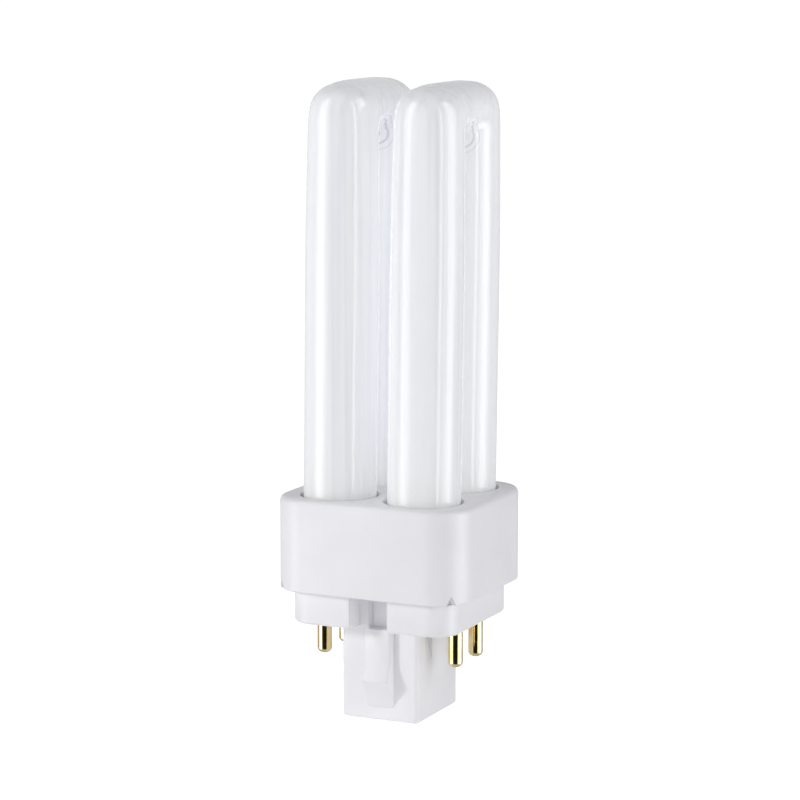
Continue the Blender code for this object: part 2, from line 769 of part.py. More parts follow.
def main():
    clear_scene()
    parts = new_collection("compact_fluorescent_lamp")
    cutters = new_collection("cutters")
    dress([make_discharge_tube(parts, cutters)], new_material("coated_glass", (0.82, 0.83, 0.86), 0.08))
    moulding = new_material("white_moulding", (0.84, 0.84, 0.85), 0.38)
    dress([make_tube_collar(parts, cutters), make_base_cap(parts, cutters)], moulding)
    dress([make_basing_cement(parts, cutters)], new_material("cement", (0.62, 0.58, 0.5), 0.9))
    dress(make_contact_pins(parts), new_material("brass", (0.78, 0.57, 0.25), 0.2, 1.0))
    dress(make_lead_wires(parts), new_material("nickel_wire", (0.6, 0.58, 0.55), 0.35, 1.0))
    cutters.hide_render = True


main()
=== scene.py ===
"""The look of the four pin compact fluorescent lamp: drawn glass, white mouldings and brass pins.

Metres, +Z up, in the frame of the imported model. Sizes that shape a piece repeat those of its solid,
but for a few of the base's that were refined against the photograph.
"""

import math

import bmesh
import bpy
from mathutils import Matrix, Vector, noise


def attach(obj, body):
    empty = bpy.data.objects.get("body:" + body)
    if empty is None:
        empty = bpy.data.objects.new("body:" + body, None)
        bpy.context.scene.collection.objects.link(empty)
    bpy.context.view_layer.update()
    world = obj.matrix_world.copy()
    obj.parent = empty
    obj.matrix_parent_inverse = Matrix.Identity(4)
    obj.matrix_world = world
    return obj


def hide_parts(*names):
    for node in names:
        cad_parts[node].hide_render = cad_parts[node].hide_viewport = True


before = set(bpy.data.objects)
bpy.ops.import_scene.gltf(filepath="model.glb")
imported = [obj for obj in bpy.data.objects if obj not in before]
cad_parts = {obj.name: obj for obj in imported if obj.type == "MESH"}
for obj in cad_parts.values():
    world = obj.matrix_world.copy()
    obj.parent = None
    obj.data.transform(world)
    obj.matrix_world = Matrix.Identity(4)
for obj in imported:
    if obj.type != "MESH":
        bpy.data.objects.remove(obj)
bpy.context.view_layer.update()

MM = 0.001
CORNERS = ((-1, -1), (1, -1), (1, 1), (-1, 1))

# Glass
TUBE_RADIUS = 5.9 * MM
LEG_PITCH_X = 14.9 * MM
LEG_PITCH_Y = 14.0 * MM
NECK_RADIUS = 5.65 * MM
NECK_LENGTH = 17.0 * MM
CROWN_THICKNESS = 7.4 * MM
CROWN_NARROWING = 0.2 * MM
FRONT_SQUARENESS = 4.0
REAR_SQUARENESS = 4.8
GLASS_LEAN = math.radians(0.75)
LEG_CLOSING = 2.6 * MM
DOME_ANGLE = math.radians(80)  # how far round a rear leg's dome goes before its small flat
PINCH_HALF_X = 4.602 * MM
PINCH_HALF_Y = 1.35 * MM
PINCH_LENGTH = 3.2 * MM
PINCH_SQUARENESS = 3.0
BRIDGE_RADIUS = 2.8 * MM
EXHAUST_TIP_RADIUS = 1.3 * MM
EXHAUST_TIP_LENGTH = 1.6 * MM
DRAWN_WAVINESS = 0.035 * MM  # how far drawn glass strays from a true tube
WAVE_LENGTH = 14.0 * MM
WAVES_START = 10.0 * MM  # above the collar, the height over which the waves set in
CREASE_ANGLES = (52.0, 128.0)  # where the bending mould's cheeks end, degrees round the bend
CREASE_DEPTH = 0.3 * MM
CREASE_SPREAD = 3.4  # degrees
CREASE_REACH = 0.6  # how far a crease runs on past the bend's sides, as a share of the half width
WRINKLE_DEPTH = 0.12 * MM
WRINKLE_ANGLES = (18.0, 42.0, 66.0, 90.0, 114.0, 138.0, 162.0)
WRINKLE_SPREAD = 5.0  # degrees
WRINKLE_FADE = 1.5  # the power by which wrinkles fade toward the bend's sides
FOLD_PITCH = 0.7 * MM  # from one painted shaded fold of the wrinkled inner side to the next

# Levels
SEAT = 15.9 * MM
IN_PLATE = 16.8 * MM
PLATE_TOP = 17.7 * MM
SKIRT_TOP = 21.15 * MM
SPIGOT_TOP = 23.95 * MM
COLLAR_BOTTOM = 21.45 * MM
COLLAR_ROOF = 26.95 * MM
COLLAR_TOP = 36.7 * MM
LEG_END = 29.1 * MM
PINCH_BOTTOM = LEG_END - LEG_CLOSING - PINCH_LENGTH
LAMP_TOP = 103.0 * MM
BEND_INNER_RADIUS = LEG_PITCH_Y / 2 - NECK_RADIUS
BEND_SPRING = LAMP_TOP - CROWN_THICKNESS - BEND_INNER_RADIUS
BRIDGE_LEVEL = 31.5 * MM

# Mouldings
COLLAR_HALF = (16.7 * MM, 14.65 * MM)
COLLAR_CORNER = 6.0 * MM
COLLAR_TOP_EDGE = 1.0 * MM
COLLAR_LOWER_EDGE = 0.25 * MM
SOCKET_RADIUS = 6.45 * MM
SOCKET_LIP = 0.15 * MM  # rounding of a socket's rim
CORE_HOLE_RADIUS = 2.4 * MM
CORE_HOLE_ROOF = 1.8 * MM
BRIDGE_SLOT_HALF = 3.25 * MM
NOTCH_HALF = 0.8 * MM
NOTCH_HEIGHT = 1.5 * MM
NOTCH_INSET = 1.5 * MM
SKIRT_HALF = (14.45 * MM, 12.7 * MM)
SKIRT_CORNER = 4.2 * MM
SKIRT_EDGE = 0.5 * MM
SKIRT_WALL = 1.5 * MM
POST_HALF = (6.75 * MM, 7.75 * MM)
POST_EDGE = 0.55 * MM
POST_WALL = 1.5 * MM
RECESS_OFFSET_X = 0.3 * MM
LATCH_OFFSET_X = 0.2 * MM
LATCH_WIDTH = 4.7 * MM
LATCH_FACE = 8.9 * MM
LATCH_PEAK = 1.4 * MM
LATCH_STRAIGHT = 6.3 * MM
LATCH_RAMP = 2.6 * MM
LATCH_TAPER = 4.6 * MM
LATCH_END_STAND = 0.15 * MM
LATCH_EDGE = 0.4 * MM
RECESS_WIDTH = 6.6 * MM
RECESS_FLOOR = 8.95 * MM
RECESS_WALL = 1.3 * MM
WINDOW_WIDTH = 3.3 * MM
WINDOW_DEPTH = 1.3 * MM
WINDOW_WALL = 1.0 * MM
WINDOW_DROP = 0.45 * MM
KEYWAY_WIDTH = 2.3 * MM
KEYWAY_DEPTH = 1.3 * MM
KEYWAY_LENGTH = 6.3 * MM
KEYWAY_OFFSET_Y = -3.4 * MM
FIT_GAP = 0.3 * MM
OVERSHOOT = 1.0 * MM
MOULDED_EDGE = 0.35 * MM  # the small radius that a mould leaves on every edge

# Pins
PIN_RADIUS = 1.2 * MM
PIN_HOLE_RADIUS = 1.5 * MM
PIN_PITCH_X = 23.5 * MM
PIN_PITCH_Y = 8.0 * MM
PIN_PLACES = [(sx * PIN_PITCH_X / 2, sy * PIN_PITCH_Y / 2) for sx, sy in CORNERS]
PIN_REACH = 6.6 * MM
PIN_TIP_HEIGHT = 0.9 * MM
PIN_RISE = 3.5 * MM
PIN_BORE = 0.6 * MM
PIN_BORE_DEPTH = 5.0 * MM
PIN_RING_STAND = 0.25 * MM
PIN_RING_HEIGHT = 0.9 * MM
BOSS_RADIUS = 2.2 * MM
BOSS_TOP = 19.2 * MM

# Patterns of the finishes: the width and length of one streak, wave or line, or the size of one patch
BROAD_STREAK = (3.85 * MM, 71.4 * MM)
FINE_STREAK = (1.11 * MM, 111.0 * MM)
DRAWN_WAVE = (6.67 * MM, 40.0 * MM)
DIE_LINE = (0.111 * MM, 6.67 * MM)
WHITE_PATCH = 8.33 * MM
SHEEN_PATCH = 1.11 * MM
TARNISH_SPOT = 2.0 * MM
OXIDE_PATCH = 1.43 * MM
SAND_GRAIN = 0.625 * MM
PAPER_PATCH = 2.5 * MM
WAVE_REPEAT = math.pi / 10  # what a wave texture of scale 1 takes for one wave
FOLD_SHADE_RANGE = (BEND_INNER_RADIUS + 0.3 * MM, BEND_INNER_RADIUS + 2.6 * MM)  # where the painted shade of the folds fades
WARM_RANGE = (36.0 * MM, 45.0 * MM)  # levels over which the warm tint fades out
PAINTED_GLOW_RANGE = (35.8 * MM, 36.8 * MM)  # levels over which the painted glow sets in, at the collar's top
PAINTED_GAP_LIGHT_RANGE = (6.0 * MM, 11.0 * MM)  # from the lamp's axis, where the gap's stronger painted glow fades

# Fineness
RING_POINTS = 96
BEND_STEPS = 120
LEG_STEPS = 44
CLOSING_STEPS = 10
CORNER_STEPS = 14
EDGE_STEPS = 5
TURNED_STEPS = 72
PIN_TIP_STEPS = 15
SMOOTH_ANGLE = math.radians(32)
SEAM_DISTANCE = 0.001 * MM  # closes the seam of a turned shape
WELD_DISTANCE = 0.005 * MM  # closes the hairline slivers that cuts leave

# Studio: the camera stands where the photograph was taken from
CAMERA_AZIMUTH = math.radians(25.1)
CAMERA_ELEVATION = math.radians(9.15)
CAMERA_DISTANCE = 0.490
CAMERA_TARGET = Vector((0, 0, 0.05146))
CAMERA_LENS = 136.5  # millimetres
CAMERA_FILM = 36.0  # millimetres across
VIEW_SIDE = Vector((math.sin(CAMERA_AZIMUTH), -math.cos(CAMERA_AZIMUTH), 0))  # toward the camera
VIEW_RIGHT = Vector((math.cos(CAMERA_AZIMUTH), math.sin(CAMERA_AZIMUTH), 0))
FLOOR_REACH = 30.0  # metres from the lamp to the floor's edge


# Mesh helpers


def new_object(name, bm):
    mesh = bpy.data.meshes.new(name)
    bmesh.ops.recalc_face_normals(bm, faces=bm.faces)
    bm.to_mesh(mesh)
    bm.free()
    obj = bpy.data.objects.new(name, mesh)
    bpy.context.scene.collection.objects.link(obj)
    return obj


def loft(name, rings):
    """A closed skin through rings of the same number of points, capped at both ends."""
    bm = bmesh.new()
    loops = [[bm.verts.new(point) for point in ring] for ring in rings]
    for first, second in zip(loops, loops[1:]):
        for i in range(len(first)):
            j = (i + 1) % len(first)
            bm.faces.new((first[i], first[j], second[j], second[i]))
    bm.faces.new(loops[0])
    bm.faces.new(loops[-1])
    return new_object(name, bm)


def rounded_outline(half_x, half_y, corner, z):
    """Points of a level rectangle whose corners are rounded."""
    points = []
    for quarter, (sx, sy) in enumerate(((1, 1), (-1, 1), (-1, -1), (1, -1))):
        for step in range(CORNER_STEPS + 1):
            angle = math.pi / 2 * (quarter + step / CORNER_STEPS)
            x = sx * (half_x - corner) + corner * math.cos(angle)
            y = sy * (half_y - corner) + corner * math.sin(angle)
            points.append(Vector((x, y, z)))
    return points


def block(name, half_x, half_y, low, high, corner=0.0, low_edge=0.0, high_edge=0.0):
    """A block, square or with rounded corners, whose end edges can be rounded too."""
    if not corner:
        bm = bmesh.new()
        size = Matrix.Diagonal((2 * half_x, 2 * half_y, high - low, 1.0))
        bmesh.ops.create_cube(bm, size=1.0, matrix=Matrix.Translation((0, 0, (low + high) / 2)) @ size)
        return new_object(name, bm)
    rings = []
    for z, edge, way in ((low, low_edge, 1), (high, high_edge, -1)):
        steps = range(EDGE_STEPS + 1) if edge else (EDGE_STEPS,)
        found = []
        for step in steps:
            angle = math.pi / 2 * step / EDGE_STEPS
            inset = edge * (1 - math.sin(angle))
            level = z + way * edge * (1 - math.cos(angle))
            found.append(rounded_outline(half_x - inset, half_y - inset, corner - inset, level))
        rings += found if way > 0 else found[::-1]
    return loft(name, rings)


def turned(name, profile, steps=TURNED_STEPS):
    """A profile of (radius, z) points from the axis and back to it, turned about Z."""
    bm = bmesh.new()
    line = [bm.verts.new((radius, 0, z)) for radius, z in profile]
    edges = [bm.edges.new(pair) for pair in zip(line, line[1:])]
    bmesh.ops.spin(
        bm,
        geom=line + edges,
        axis=(0, 0, 1),
        cent=(0, 0, 0),
        angle=2 * math.pi,
        steps=steps,
    )
    bmesh.ops.remove_doubles(bm, verts=bm.verts, dist=SEAM_DISTANCE)
    return new_object(name, bm)


def prism(name, outline, width, edge=0.0):
    """A flat outline of (y, z) points given a width across X, the rims of its flat sides rounded."""
    bm = bmesh.new()
    face = bm.faces.new([bm.verts.new((-width / 2, y, z)) for y, z in outline])
    moved = bmesh.ops.extrude_face_region(bm, geom=[face])["geom"]
    bmesh.ops.translate(bm, vec=(width, 0, 0), verts=[v for v in moved if isinstance(v, bmesh.types.BMVert)])
    if edge:
        sides = [e for e in bm.edges if abs(e.verts[0].co.x - e.verts[1].co.x) < width / 2]
        bmesh.ops.bevel(bm, geom=sides, offset=edge, segments=EDGE_STEPS, profile=0.5, affect="EDGES")
    return new_object(name, bm)


def cut_or_join(obj, helpers, operation, solver="EXACT"):
    """Sets the helpers to be cut from the piece or joined to it, and gives them back."""
    for helper in helpers:
        modifier = obj.modifiers.new(helper.name, "BOOLEAN")
        modifier.operation = operation
        modifier.solver = solver
        modifier.object = helper
    return helpers


def finish_mesh(obj, helpers=()):
    """Bakes the cuts and joins into one mesh, removes the helpers, welds slivers and smooths round faces."""
    bpy.context.view_layer.update()
    evaluated = obj.evaluated_get(bpy.context.evaluated_depsgraph_get())
    mesh = bpy.data.meshes.new_from_object(evaluated)
    obj.modifiers.clear()
    obj.data = mesh
    for helper in helpers:
        bpy.data.objects.remove(helper, do_unlink=True)
    bm = bmesh.new()
    bm.from_mesh(mesh)
    bmesh.ops.remove_doubles(bm, verts=bm.verts, dist=WELD_DISTANCE)
    bmesh.ops.dissolve_degenerate(bm, edges=bm.edges, dist=WELD_DISTANCE)
    bm.to_mesh(mesh)
    bm.free()
    mesh.shade_smooth()
    mesh.set_sharp_from_angle(angle=SMOOTH_ANGLE)


def dress(obj, material, slot, *nodes):
    """Gives a piece its finish and its body, and hides the solids that it takes the place of."""
    obj.data.materials.clear()
    obj.data.materials.append(material)
    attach(obj, "root")
    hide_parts(*nodes)


# Glass


def oval_ring(centre, across, along, half_across, half_along, squareness=2.0):
    """Points of an oval. Its squareness is 2 for an ellipse and more for a fuller outline."""
    points = []
    for i in range(RING_POINTS):
        angle = 2 * math.pi * i / RING_POINTS
        c, s = math.cos(angle), math.sin(angle)
        u = math.copysign(abs(c) ** (2 / squareness), c) * half_across
        v = math.copysign(abs(s) ** (2 / squareness), s) * half_along
        points.append(centre + across * u + along * v)
    return points


ACROSS_X = Vector((1, 0, 0))
OUTWARD_Y = Vector((0, -1, 0))


def leg_ring(x, side, z, half_x, half_y, squareness=2.0):
    """A level ring of a leg. The front legs have side -1 and the rear legs side 1."""
    centre = Vector((x, side * LEG_PITCH_Y / 2, z))
    return oval_ring(centre, ACROSS_X, OUTWARD_Y * -side, half_x, half_y, squareness)


def swollen(flat, share):
    """A half width on the way from the flat press seal to the round tube."""
    return flat + (TUBE_RADIUS - flat) * math.sin(share * math.pi / 2)


def pinch_rings(x):
    """The press seal that closes a front leg, from its lower end up to the round tube."""
    rings = []
    pinch_top = PINCH_BOTTOM + PINCH_LENGTH
    for z in (PINCH_BOTTOM, pinch_top):
        rings.append(leg_ring(x, -1, z, PINCH_HALF_X, PINCH_HALF_Y, PINCH_SQUARENESS))
    for step in range(1, CLOSING_STEPS + 1):
        share = step / CLOSING_STEPS
        squareness = PINCH_SQUARENESS + (2.0 - PINCH_SQUARENESS) * share
        half_x, half_y = swollen(PINCH_HALF_X, share), swollen(PINCH_HALF_Y, share)
        rings.append(leg_ring(x, -1, pinch_top + LEG_CLOSING * share, half_x, half_y, squareness))
    return rings


def dome_rings(x):
    """The rounded end that closes a rear leg, from the round tube down."""
    rings = []
    for step in range(CLOSING_STEPS + 1):
        angle = DOME_ANGLE * step / CLOSING_STEPS
        radius = TUBE_RADIUS * math.cos(angle)
        rings.append(leg_ring(x, 1, LEG_END - LEG_CLOSING * math.sin(angle), radius, radius))
    return rings


def leg_rings(x, side):
    """The drawn leg, from the collar up to the bend, narrowing over its last part."""
    rings = []
    for step in range(1, LEG_STEPS):
        z = LEG_END + (BEND_SPRING - LEG_END) * step / LEG_STEPS
        taper = max(0.0, (z - BEND_SPRING + NECK_LENGTH) / NECK_LENGTH)
        radius = TUBE_RADIUS + (NECK_RADIUS - TUBE_RADIUS) * taper
        rings.append(leg_ring(x, side, z, radius, radius))
    return rings


def bell(value, middle, spread):
    """1 in the middle, and close to 0 two spreads away from it."""
    return math.exp(-(((value - middle) / spread) ** 2))


def bend_rings(x):
    """The tight bend, with the creases that the mould leaves and the wrinkles of its inner side."""
    outer_reach = LEG_PITCH_Y / 2 + NECK_RADIUS
    rise = LAMP_TOP - BEND_SPRING
    rings = []
    for step in range(BEND_STEPS + 1):
        angle = math.pi * step / BEND_STEPS
        degrees = math.degrees(angle)
        out = Vector((0, -math.cos(angle), math.sin(angle)))
        share_y, share_z = abs(out.y) / outer_reach, abs(out.z) / rise
        power = FRONT_SQUARENESS if out.y < 0 else REAR_SQUARENESS
        reach = (share_y**power + share_z**power) ** (-1 / power)
        inner, outer = out * BEND_INNER_RADIUS, out * reach
        centre = Vector((x, 0, BEND_SPRING)) + (inner + outer) / 2
        half_x = NECK_RADIUS - CROWN_NARROWING * math.sin(angle)
        ring = oval_ring(centre, ACROSS_X, out, half_x, (outer - inner).length / 2)
        crease = CREASE_DEPTH * sum(bell(degrees, at, CREASE_SPREAD) for at in CREASE_ANGLES)
        wrinkle = WRINKLE_DEPTH * sum(bell(degrees, at, WRINKLE_SPREAD) for at in WRINKLE_ANGLES)
        for i, point in enumerate(ring):
            toward = (centre - point).normalized()
            outward = math.sin(2 * math.pi * i / RING_POINTS)  # 1 on the bend's outer side
            crease_share = max(0.0, outward + CREASE_REACH) / (1 + CREASE_REACH)
            wrinkle_share = max(0.0, -outward) ** WRINKLE_FADE
            ring[i] = point + toward * (crease * crease_share + wrinkle * wrinkle_share)
        rings.append(ring)
    return rings


def make_u_tube(name, x):
    """One folded tube. Above the collar it strays a little from true, mostly inward."""
    rings = pinch_rings(x) + leg_rings(x, -1) + bend_rings(x) + leg_rings(x, 1)[::-1] + dome_rings(x)
    tube = loft(name, rings)
    for vert in tube.data.vertices:
        if vert.co.z > COLLAR_TOP:
            rise = min(1.0, (vert.co.z - COLLAR_TOP) / WAVES_START)
            place = vert.co / WAVE_LENGTH + Vector((x / MM, 0, 0))  # each tube has its own waves
            vert.co += vert.normal * DRAWN_WAVINESS * rise * (noise.noise(place) - 0.5)
    return tube


def make_glass(material):
    """One sealed vessel: two U-shaped tubes, the bridge between them and the exhaust tip."""
    tube = make_u_tube("glass_tubes", -LEG_PITCH_X / 2)
    second = make_u_tube("second_u_tube", LEG_PITCH_X / 2)
    half = LEG_PITCH_X / 2
    bridge = turned("bridge_tube", [(0, -half), (BRIDGE_RADIUS, -half), (BRIDGE_RADIUS, half), (0, half)])
    bridge.rotation_euler = (0, math.pi / 2, 0)
    bridge.location = (0, LEG_PITCH_Y / 2, BRIDGE_LEVEL)
    foot = LEG_END - LEG_CLOSING
    tip = turned(
        "exhaust_tip",
        [
            (0, foot + OVERSHOOT),
            (EXHAUST_TIP_RADIUS, foot + OVERSHOOT),
            (EXHAUST_TIP_RADIUS, foot - EXHAUST_TIP_LENGTH / 2),
            (EXHAUST_TIP_RADIUS / 2, foot - EXHAUST_TIP_LENGTH),
            (0, foot - EXHAUST_TIP_LENGTH),
        ],
    )
    tip.location = (-LEG_PITCH_X / 2, LEG_PITCH_Y / 2, 0)
    finish_mesh(tube, cut_or_join(tube, [second, bridge, tip], "UNION", "MANIFOLD"))
    pivot = Matrix.Translation((0, 0, (COLLAR_TOP + COLLAR_ROOF) / 2))
    tube.data.transform(pivot @ Matrix.Rotation(GLASS_LEAN, 4, "Y") @ pivot.inverted())
    dress(tube, material, "coated_glass", "discharge_tube")


# Mouldings


def socket_cutter(x, y):
    """A socket's bore, flared at its rim."""
    top = COLLAR_TOP + OVERSHOOT
    profile = [(0, top), (SOCKET_RADIUS + SOCKET_LIP, top)]
    for step in range(EDGE_STEPS + 1):
        angle = math.pi / 2 * step / EDGE_STEPS
        radius = SOCKET_RADIUS + SOCKET_LIP * (1 - math.sin(angle))
        profile.append((radius, COLLAR_TOP - SOCKET_LIP * (1 - math.cos(angle))))
    profile += [(SOCKET_RADIUS, COLLAR_ROOF - OVERSHOOT), (0, COLLAR_ROOF - OVERSHOOT)]
    cutter = turned("leg_socket", profile)
    cutter.location = (x, y, 0)
    return cutter


def make_collar(material):
    """The upper moulding, with its four sockets, the cavity under them and the V notches."""
    collar = block(
        "moulded_collar",
        *COLLAR_HALF,
        COLLAR_BOTTOM,
        COLLAR_TOP,
        COLLAR_CORNER,
        COLLAR_LOWER_EDGE,
        COLLAR_TOP_EDGE,
    )
    below = COLLAR_BOTTOM - OVERSHOOT
    cuts = [block("collar_cavity", *SKIRT_HALF, below, COLLAR_ROOF, SKIRT_CORNER)]
    core_top = COLLAR_TOP - CORE_HOLE_ROOF
    core = [(0, core_top), (CORE_HOLE_RADIUS, core_top), (CORE_HOLE_RADIUS, below), (0, below)]
    cuts.append(turned("core_hole", core))
    cuts += [socket_cutter(sx * LEG_PITCH_X / 2, sy * LEG_PITCH_Y / 2) for sx, sy in CORNERS]
    slot_top = BRIDGE_LEVEL + BRIDGE_SLOT_HALF
    slot = block("bridge_slot", LEG_PITCH_X / 2, BRIDGE_SLOT_HALF, COLLAR_ROOF - OVERSHOOT, slot_top)
    slot.location = (0, LEG_PITCH_Y / 2, 0)
    cuts.append(slot)
    reach = NOTCH_HALF * (NOTCH_HEIGHT + OVERSHOOT) / NOTCH_HEIGHT
    for sx, sy in CORNERS:
        notch = prism(
            "snap_notch",
            [(-reach, below), (reach, below), (0, COLLAR_BOTTOM + NOTCH_HEIGHT)],
            2 * COLLAR_CORNER,
        )
        notch.rotation_euler = (0, 0, math.atan2(sy, sx))
        notch.location = (sx * (COLLAR_HALF[0] - NOTCH_INSET), sy * (COLLAR_HALF[1] - NOTCH_INSET), 0)
        cuts.append(notch)
    finish_mesh(collar, cut_or_join(collar, cuts, "DIFFERENCE"))
    dress(collar, material, "white_moulding", "tube_collar")


def latch_outline(side):
    """A wedge latch: straight down from the plate, ramped out to its tooth, then tapered in again."""
    root = POST_HALF[1] - POST_WALL / 2
    tooth_top = SEAT - LATCH_STRAIGHT
    tooth_peak = tooth_top - LATCH_RAMP
    points = [
        (root, IN_PLATE),
        (LATCH_FACE, IN_PLATE),
        (LATCH_FACE, tooth_top),
        (LATCH_FACE + LATCH_PEAK, tooth_peak),
        (POST_HALF[1] + LATCH_END_STAND, tooth_peak - LATCH_TAPER),
        (root, tooth_peak - LATCH_TAPER),
    ]
    return [(side * y, z) for y, z in points]


def side_block(name, half_x, inner, outer, low, high, side):
    """A plain block between two depths on one of the cap's broad sides."""
    made = block(name, half_x, (outer - inner) / 2, low, high)
    made.location = (RECESS_OFFSET_X, side * (outer + inner) / 2, 0)
    return made


def pin_hole(x, y):
    """A pin's hole, with the groove that the pin's ring sits in."""
    groove = PIN_HOLE_RADIUS + PIN_RING_STAND
    middle = SEAT + PIN_RISE / 2
    half = PIN_RING_HEIGHT / 2 + FIT_GAP
    top, bottom = SPIGOT_TOP + OVERSHOOT, SEAT - OVERSHOOT
    hole = turned(
        "pin_hole",
        [
            (0, top),
            (PIN_HOLE_RADIUS, top),
            (PIN_HOLE_RADIUS, middle + half),
            (groove, middle + half),
            (groove, middle - half),
            (PIN_HOLE_RADIUS, middle - half),
            (PIN_HOLE_RADIUS, bottom),
            (0, bottom),
        ],
    )
    hole.location = (x, y, 0)
    return hole


def make_cap(material):
    """The lower moulding: skirt and spigot, plate, hollow post, latches, windows and keyway."""
    cap = block("moulded_cap", *SKIRT_HALF, SEAT, SKIRT_TOP, SKIRT_CORNER, SKIRT_EDGE)
    helpers = []
    spigot = block(
        "spigot",
        SKIRT_HALF[0] - FIT_GAP,
        SKIRT_HALF[1] - FIT_GAP,
        IN_PLATE,
        SPIGOT_TOP,
        SKIRT_CORNER - FIT_GAP,
        0.0,
        SKIRT_EDGE,
    )
    post = block("post", *POST_HALF, 0.0, IN_PLATE, POST_EDGE, POST_EDGE)
    helpers += cut_or_join(cap, [spigot, post], "UNION")
    inside = block(
        "cap_cavity",
        SKIRT_HALF[0] - SKIRT_WALL,
        SKIRT_HALF[1] - SKIRT_WALL,
        PLATE_TOP,
        SPIGOT_TOP + OVERSHOOT,
        SKIRT_CORNER - SKIRT_WALL,
    )
    helpers += cut_or_join(cap, [inside], "DIFFERENCE")
    jackets = [
        side_block(
            "recess_jacket",
            RECESS_WIDTH / 2 + RECESS_WALL,
            RECESS_FLOOR - WINDOW_DEPTH - WINDOW_WALL,
            SKIRT_HALF[1] - SKIRT_WALL / 2,
            IN_PLATE,
            SKIRT_TOP + FIT_GAP + RECESS_WALL,
            side,
        )
        for side in (-1, 1)
    ]
    bosses = []
    boss_profile = [(0, BOSS_TOP), (BOSS_RADIUS, BOSS_TOP), (BOSS_RADIUS, IN_PLATE), (0, IN_PLATE)]
    for x, y in PIN_PLACES:
        boss = turned("pin_boss", boss_profile)
        boss.location = (x, y, 0)
        bosses.append(boss)
    helpers += cut_or_join(cap, jackets + bosses, "UNION")
    hollow = block(
        "post_hollow", POST_HALF[0] - POST_WALL, POST_HALF[1] - POST_WALL, POST_WALL, PLATE_TOP + OVERSHOOT
    )
    face = SKIRT_HALF[1] + OVERSHOOT
    recesses = [
        side_block(
            "recess", RECESS_WIDTH / 2, RECESS_FLOOR, face, SEAT - OVERSHOOT, SKIRT_TOP + FIT_GAP, side
        )
        for side in (-1, 1)
    ]
    helpers += cut_or_join(cap, [hollow] + recesses + [pin_hole(*at) for at in PIN_PLACES], "DIFFERENCE")
    latches = []
    for side in (-1, 1):
        latch = prism("latch", latch_outline(side), LATCH_WIDTH, LATCH_EDGE)
        latch.location = (LATCH_OFFSET_X, 0, 0)
        latches.append(latch)
    helpers += cut_or_join(cap, latches, "UNION")
    windows = [
        side_block(
            "window",
            WINDOW_WIDTH / 2,
            RECESS_FLOOR - WINDOW_DEPTH,
            RECESS_FLOOR + OVERSHOOT,
            SEAT - WINDOW_DROP,
            SKIRT_TOP,
            side,
        )
        for side in (-1, 1)
    ]
    slope = KEYWAY_DEPTH / KEYWAY_LENGTH
    keyway = prism(
        "keyway",
        [
            (POST_HALF[0] - KEYWAY_DEPTH, SEAT),
            (POST_HALF[0] + OVERSHOOT, SEAT),
            (POST_HALF[0] + OVERSHOOT, SEAT - KEYWAY_LENGTH - OVERSHOOT / slope),
        ],
        KEYWAY_WIDTH,
    )
    keyway.rotation_euler = (0, 0, -math.pi / 2)
    keyway.location = (0, KEYWAY_OFFSET_Y, 0)
    helpers += cut_or_join(cap, windows + [keyway], "DIFFERENCE")
    finish_mesh(cap, helpers)
    dress(cap, material, "white_moulding", "base_cap")


# Pins


def pin_profile():
    """A drawn pin: open at the top, ringed in its boss, domed at its tip."""
    top, tip = SEAT + PIN_RISE, SEAT - PIN_REACH
    middle = SEAT + PIN_RISE / 2
    ring = PIN_RADIUS + PIN_RING_STAND
    points = [
        (0, top - PIN_BORE_DEPTH),
        (PIN_BORE, top - PIN_BORE_DEPTH + PIN_BORE / 2),
        (PIN_BORE, top),
        (PIN_RADIUS, top),
        (PIN_RADIUS, middle + PIN_RING_HEIGHT / 2),
        (ring, middle + PIN_RING_HEIGHT / 4),
        (ring, middle - PIN_RING_HEIGHT / 4),
        (PIN_RADIUS, middle - PIN_RING_HEIGHT / 2),
    ]
    for step in range(PIN_TIP_STEPS):
        angle = math.pi / 2 * step / PIN_TIP_STEPS
        points.append((PIN_RADIUS * math.cos(angle), tip + PIN_TIP_HEIGHT * (1 - math.sin(angle))))
    points.append((0, tip))
    return points


def make_pins(material):
    for number, (x, y) in enumerate(PIN_PLACES, 1):
        pin = turned(f"brass_pin_{number}", pin_profile())
        pin.data.transform(Matrix.Translation((x, y, 0)))
        finish_mesh(pin)
        dress(pin, material, "brass", f"contact_pin_{number}")


# Finishes


def linear(code):
    """The linear colour of an sRGB hex code."""
    shades = [int(code[i : i + 2], 16) / 255 for i in (0, 2, 4)]
    return (*[s / 12.92 if s <= 0.04045 else ((s + 0.055) / 1.055) ** 2.4 for s in shades], 1.0)


def add_node(tree, kind, settings=None, links=None, values=None, stops=()):
    """Adds a node with its settings, linked inputs, plain inputs and, on a colour ramp, its two stops."""
    node = tree.nodes.new(kind)
    for name, value in (settings or {}).items():
        setattr(node, name, value)
    for name, value in (values or {}).items():
        node.inputs[name].default_value = value
    for name, socket in (links or {}).items():
        tree.links.new(socket, node.inputs[name])
    if stops:
        for element, (place, colour) in zip(node.color_ramp.elements, stops):
            element.position, element.color = place, colour
    return node


MIX_FIRST, MIX_SECOND, MIX_RESULT = 6, 7, 2  # the numbers of a Mix node's colour sockets


def drawn_out(size):
    """The scale of a pattern whose marks have this width and this length along Z."""
    width, length = size
    return (1 / width, 1 / width, 1 / length)


def new_finish(name, values):
    """A material whose shader has these plain values, with its tree, shader and the place on the piece."""
    material = bpy.data.materials.new(name)
    material.use_nodes = True
    tree = material.node_tree
    shader = tree.nodes["Principled BSDF"]
    for key, value in values.items():
        shader.inputs[key].default_value = value
    place = add_node(tree, "ShaderNodeTexCoord").outputs["Object"]
    return material, tree, shader, place


